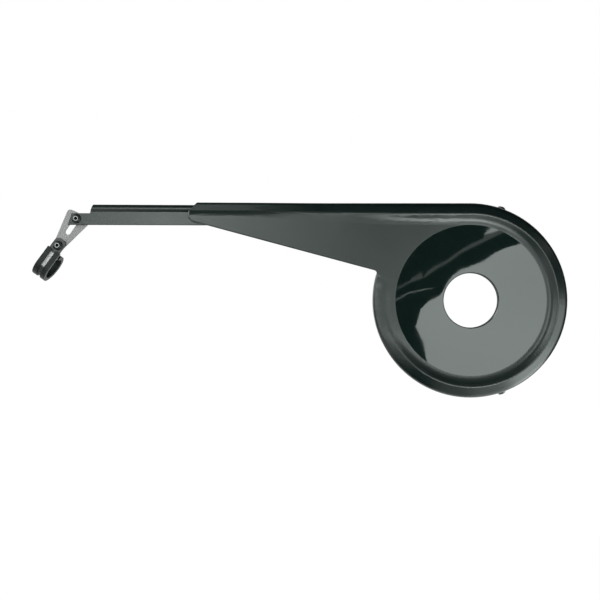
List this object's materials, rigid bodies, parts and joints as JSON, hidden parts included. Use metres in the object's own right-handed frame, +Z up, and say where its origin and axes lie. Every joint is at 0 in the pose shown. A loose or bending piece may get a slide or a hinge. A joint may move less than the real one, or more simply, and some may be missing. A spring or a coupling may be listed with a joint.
{
  "type": "bicycle chain guard",
  "caption": "Moulded bicycle chain guard: a chainring disc with a raised rim and crank hole, a tapering arm, a sliding tail, and a slotted link with a rubber-lined stay clip.",
  "frame": {"origin": "on the crank axis, halfway along the collar wall of the crank hole", "axes": "+X forwards along the bicycle, +Y inwards to its frame along the crank axis, +Z up"},
  "size_m": [0.5432, 0.0308, 0.1978],
  "materials": {
    "cover_plastic": "satin black moulding with a high-gloss disc centre",
    "tail_plastic": "satin black",
    "plate_steel": "brushed along its length",
    "screw_black": "black oxide",
    "lining_rubber": "dull black"
  },
  "bodies": {
    "cover": {"front_cover": "cover_plastic", "rim_screws": "screw_black", "rim_nuts": "plate_steel"},
    "tail": {"tail_extension": "tail_plastic"},
    "tail_bolt": {"tail_screw": "screw_black", "tail_washer": "plate_steel", "tail_nut": "plate_steel"},
    "link": {"link_plate": "plate_steel"},
    "clip": {"clamp_band": "plate_steel", "clamp_rubber": "lining_rubber", "clamp_screw": "screw_black", "clamp_washer": "plate_steel", "clamp_nut": "plate_steel"}
  },
  "joints": [
    {"name": "tail_slide", "type": "slide", "parent": "cover", "child": "tail", "axis": [-0.9992, -0.0393, 0], "range_m": [-0.03, 0.03]},
    {"name": "link_swing", "type": "hinge", "parent": "tail", "child": "tail_bolt", "pos_m": [-0.39704, -0.00653, 0.0822], "axis": [0.0393, -0.9992, 0], "range_deg": [-40, 30]},
    {"name": "link_slide", "type": "slide", "parent": "tail_bolt", "child": "link", "axis": [0.5588, 0.022, 0.829], "range_m": [0, 0.01]},
    {"name": "clip_swing", "type": "hinge", "parent": "link", "child": "clip", "pos_m": [-0.41524, -0.00774, 0.05517], "axis": [0.0393, -0.9992, 0], "range_deg": [-45, 45]}
  ]
}
